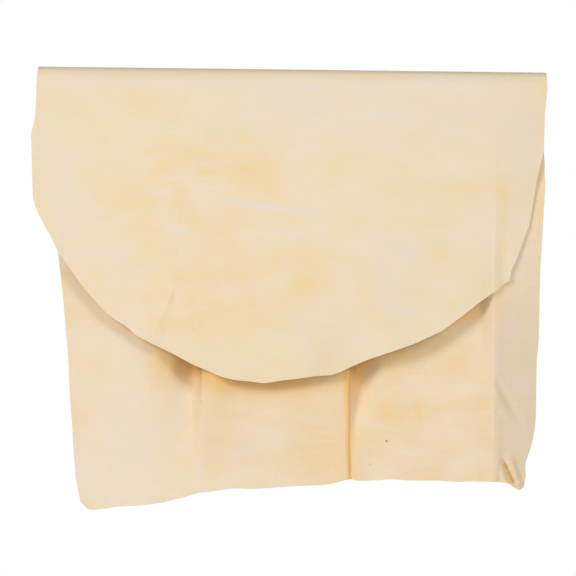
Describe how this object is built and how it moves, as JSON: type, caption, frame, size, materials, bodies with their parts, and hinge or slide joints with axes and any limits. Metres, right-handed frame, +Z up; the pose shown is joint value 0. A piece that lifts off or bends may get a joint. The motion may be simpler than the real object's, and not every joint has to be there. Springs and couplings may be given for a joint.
{
  "type": "chamois leather",
  "caption": "Chamois leather hung over a rail: a short round-edged leaf in front, a longer creased leaf behind, with wings that fold along its packing creases.",
  "frame": {"origin": "underside of the fold, at mid width, where the skin lies on the top of the rail", "axes": "+X along the rail to the viewer's right, -Y towards the viewer and the short leaf, +Z up"},
  "size_m": [0.5147, 0.0283, 0.4423],
  "materials": {
    "outer_side": "oil-tanned suede, matt, cream with yellow mottling",
    "inner_side": "oil-tanned suede, matt, warm cream"
  },
  "bodies": {
    "fold": {"top_fold": "outer_side"},
    "front_flap": {"front_flap": "outer_side"},
    "front_left_wing": {"front_left_wing": "outer_side"},
    "front_right_wing": {"front_right_wing": "outer_side"},
    "back_leaf": {"back_leaf": "inner_side"},
    "back_left_wing": {"back_left_wing": "inner_side"},
    "back_right_panel": {"back_right_panel": "inner_side"},
    "back_right_wing": {"back_right_wing": "inner_side"},
    "back_right_corner": {"back_right_corner": "inner_side"}
  },
  "joints": [
    {"name": "front_flap_lift", "type": "hinge", "parent": "fold", "child": "front_flap", "pos_m": [0, -0.00765, -0.0066], "axis": [-1, 0, 0], "range_deg": [0, 120]},
    {"name": "back_leaf_lift", "type": "hinge", "parent": "fold", "child": "back_leaf", "pos_m": [0, 0.00765, -0.0066], "axis": [1, 0, 0], "range_deg": [0, 120]},
    {"name": "front_left_wing_fold", "type": "hinge", "parent": "front_flap", "child": "front_left_wing", "pos_m": [-0.104, -0.00765, -0.05895], "axis": [0.0758, 0.0067, 0.9971], "range_deg": [0, 35]},
    {"name": "front_right_wing_fold", "type": "hinge", "parent": "front_flap", "child": "front_right_wing", "pos_m": [0.2075, -0.00765, -0.05895], "axis": [0, -0.0063, -1], "range_deg": [0, 60]},
    {"name": "back_left_wing_fold", "type": "hinge", "parent": "back_leaf", "child": "back_left_wing", "pos_m": [-0.08, 0.00765, -0.05895], "axis": [-0.0193, -0.0248, -0.9995], "range_deg": [0, 35]},
    {"name": "back_right_panel_fold", "type": "hinge", "parent": "back_leaf", "child": "back_right_panel", "pos_m": [0.056, 0.00765, -0.05895], "axis": [-0.0144, 0.0057, 0.9999], "range_deg": [0, 30]},
    {"name": "back_right_wing_fold", "type": "hinge", "parent": "back_right_panel", "child": "back_right_wing", "pos_m": [0.2063, -0.00287, -0.16395], "axis": [-0.0043, -0.0102, 0.9999], "range_deg": [0, 70]},
    {"name": "back_right_corner_turn", "type": "hinge", "parent": "back_right_wing", "child": "back_right_corner", "pos_m": [0.2077, -0.00173, -0.394], "axis": [-0.6367, -0.2769, -0.7197], "range_deg": [0, 140]}
  ]
}
